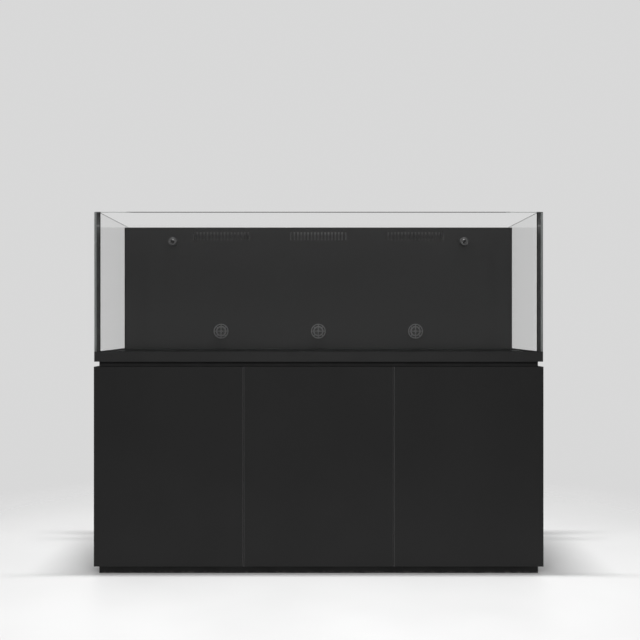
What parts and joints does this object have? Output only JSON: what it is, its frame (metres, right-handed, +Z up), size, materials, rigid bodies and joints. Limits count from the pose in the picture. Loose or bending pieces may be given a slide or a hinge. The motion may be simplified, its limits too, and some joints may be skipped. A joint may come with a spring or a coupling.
{
  "type": "aquarium on cabinet stand",
  "caption": "Rimless glass aquarium with a black rear filter chamber, on a black cabinet stand with plain push-open doors.",
  "frame": {"origin": "on the floor under the middle of the cabinet", "axes": "+X to the right seen from the front, the doors face -Y, +Z up"},
  "size_m": [1.8, 0.6, 1.45],
  "materials": {
    "base_trim": "black anodised, satin",
    "black_glass": "glass painted black on the back",
    "carcass_board": "matt black laminate, fine texture",
    "clear_glass": "clear low-iron float glass, polished edges",
    "black_plastic": "black moulded plastic",
    "rubber": "black rubber",
    "cam_metal": "zinc-plated",
    "door_front": "satin black laminate with a fine pore",
    "basket_plastic": "smoky grey moulded plastic",
    "hinge_metal": "nickel-plated steel",
    "latch_plastic": "dark grey moulded plastic",
    "strike_metal": "zinc-plated steel",
    "foam": "closed-cell black foam",
    "impeller_plastic": "pale moulded plastic",
    "nozzle_plastic": "grey moulded plastic, glossy",
    "plinth_board": "matt black laminate",
    "pump_housing": "dark moulded housing",
    "black_acrylic": "black acrylic sheet, soft gloss",
    "riser_board": "matt dark laminate",
    "silicone": "black silicone, smooth",
    "strainer_plastic": "dark grey moulded plastic",
    "base_board": "black sealed plywood"
  },
  "bodies": {
    "tank_and_cabinet": {"back_base_trim": "base_trim", "back_glass": "black_glass", "back_panel": "carcass_board", "back_rail": "carcass_board", "bottom_glass": "clear_glass", "bottom_panel": "carcass_board", "bulkhead_nuts": "black_plastic", "cable_grommets": "rubber", "cam_locks": "cam_metal", "foam_mat": "foam", "front_base_trim": "base_trim", "front_glass": "clear_glass", "hinge_arms": "hinge_metal", "latch_housings": "latch_plastic", "left_glass": "clear_glass", "left_partition": "carcass_board", "left_side_panel": "carcass_board", "nozzle_sockets": "black_plastic", "plinth_back": "plinth_board", "plinth_cross_boards": "plinth_board", "plinth_front": "plinth_board", "pump_bodies": "pump_housing", "pump_covers": "black_plastic", "pump_feet": "rubber", "rear_baffles": "black_acrylic", "return_pipework": "black_plastic", "right_glass": "clear_glass", "right_partition": "carcass_board", "right_side_panel": "carcass_board", "riser_board": "riser_board", "side_base_trims": "base_trim", "silicone_seams": "silicone", "strainer_grilles": "strainer_plastic", "tank_base_board": "base_board", "top_panel": "carcass_board", "weir_panel": "black_acrylic"},
    "left_door": {"left_door": "door_front", "left_hinge_cups": "hinge_metal", "left_strike_plate": "strike_metal"},
    "left_hinge_links": {"left_hinge_links": "hinge_metal"},
    "left_latch_plunger": {"left_latch_plunger": "latch_plastic"},
    "left_filter_basket": {"left_filter_basket": "basket_plastic"},
    "centre_door": {"centre_door": "door_front", "centre_hinge_cups": "hinge_metal", "centre_strike_plate": "strike_metal"},
    "centre_hinge_links": {"centre_hinge_links": "hinge_metal"},
    "centre_latch_plunger": {"centre_latch_plunger": "latch_plastic"},
    "centre_filter_basket": {"centre_filter_basket": "basket_plastic"},
    "right_door": {"right_door": "door_front", "right_hinge_cups": "hinge_metal", "right_strike_plate": "strike_metal"},
    "right_hinge_links": {"right_hinge_links": "hinge_metal"},
    "right_latch_plunger": {"right_latch_plunger": "latch_plastic"},
    "right_filter_basket": {"right_filter_basket": "basket_plastic"},
    "left_nozzle_ring": {"left_nozzle_ring": "nozzle_plastic"},
    "left_nozzle_ball": {"left_nozzle_ball": "nozzle_plastic"},
    "left_impeller": {"left_impeller": "impeller_plastic"},
    "right_nozzle_ring": {"right_nozzle_ring": "nozzle_plastic"},
    "right_nozzle_ball": {"right_nozzle_ball": "nozzle_plastic"},
    "right_impeller": {"right_impeller": "impeller_plastic"}
  },
  "joints": [
    {"name": "left_door_hinge", "type": "hinge", "parent": "tank_and_cabinet", "child": "left_door", "pos_m": [-0.891, -0.294, 0.43], "axis": [0, 0, -1], "range_deg": [0, 100]},
    {"name": "left_link_hinge", "type": "hinge", "parent": "tank_and_cabinet", "child": "left_hinge_links", "pos_m": [-0.869, -0.2839, 0.43], "axis": [0, 0, -1], "range_deg": [-26, 0]},
    {"name": "left_latch_travel", "type": "slide", "parent": "tank_and_cabinet", "child": "left_latch_plunger", "axis": [0, -1, 0], "range_m": [0, 0.0142]},
    {"name": "centre_door_hinge", "type": "hinge", "parent": "tank_and_cabinet", "child": "centre_door", "pos_m": [-0.29, -0.294, 0.43], "axis": [0, 0, -1], "range_deg": [0, 90]},
    {"name": "centre_link_hinge", "type": "hinge", "parent": "tank_and_cabinet", "child": "centre_hinge_links", "pos_m": [-0.268, -0.2839, 0.43], "axis": [0, 0, -1], "range_deg": [-26, 0]},
    {"name": "centre_latch_travel", "type": "slide", "parent": "tank_and_cabinet", "child": "centre_latch_plunger", "axis": [0, -1, 0], "range_m": [0, 0.0142]},
    {"name": "right_door_hinge", "type": "hinge", "parent": "tank_and_cabinet", "child": "right_door", "pos_m": [0.891, -0.294, 0.43], "axis": [0, 0, 1], "range_deg": [0, 100]},
    {"name": "right_link_hinge", "type": "hinge", "parent": "tank_and_cabinet", "child": "right_hinge_links", "pos_m": [0.869, -0.2839, 0.43], "axis": [0, 0, 1], "range_deg": [-26, 0]},
    {"name": "right_latch_travel", "type": "slide", "parent": "tank_and_cabinet", "child": "right_latch_plunger", "axis": [0, -1, 0], "range_m": [0, 0.0142]},
    {"name": "left_nozzle_swivel", "type": "hinge", "parent": "tank_and_cabinet", "child": "left_nozzle_ring", "pos_m": [-0.661, 0.18, 1.376], "axis": [0, 1, 0], "range_deg": [-180, 180]},
    {"name": "left_nozzle_tilt", "type": "hinge", "parent": "left_nozzle_ring", "child": "left_nozzle_ball", "pos_m": [-0.661, 0.18, 1.376], "axis": [1, 0, 0], "range_deg": [-20, 20]},
    {"name": "left_impeller_spin", "type": "hinge", "parent": "tank_and_cabinet", "child": "left_impeller", "pos_m": [-0.661, 0.24, 0.9335], "axis": [1, 0, 0], "continuous": true},
    {"name": "right_nozzle_swivel", "type": "hinge", "parent": "tank_and_cabinet", "child": "right_nozzle_ring", "pos_m": [0.661, 0.18, 1.376], "axis": [0, 1, 0], "range_deg": [-180, 180]},
    {"name": "right_nozzle_tilt", "type": "hinge", "parent": "right_nozzle_ring", "child": "right_nozzle_ball", "pos_m": [0.661, 0.18, 1.376], "axis": [1, 0, 0], "range_deg": [-20, 20]},
    {"name": "right_impeller_spin", "type": "hinge", "parent": "tank_and_cabinet", "child": "right_impeller", "pos_m": [0.661, 0.24, 0.9335], "axis": [1, 0, 0], "continuous": true},
    {"name": "left_basket_lift", "type": "slide", "parent": "tank_and_cabinet", "child": "left_filter_basket", "axis": [0, 0, 1], "range_m": [0, 0.33]},
    {"name": "centre_basket_lift", "type": "slide", "parent": "tank_and_cabinet", "child": "centre_filter_basket", "axis": [0, 0, 1], "range_m": [0, 0.33]},
    {"name": "right_basket_lift", "type": "slide", "parent": "tank_and_cabinet", "child": "right_filter_basket", "axis": [0, 0, 1], "range_m": [0, 0.33]}
  ],
  "couplings": [
    {"joint": "left_link_hinge", "follows": "left_door_hinge", "ratio": -0.253},
    {"joint": "left_latch_travel", "follows": "left_door_hinge", "m_per_rad": 0.00802},
    {"joint": "centre_link_hinge", "follows": "centre_door_hinge", "ratio": -0.253},
    {"joint": "centre_latch_travel", "follows": "centre_door_hinge", "m_per_rad": 0.00802},
    {"joint": "right_link_hinge", "follows": "right_door_hinge", "ratio": -0.253},
    {"joint": "right_latch_travel", "follows": "right_door_hinge", "m_per_rad": 0.00802}
  ]
}
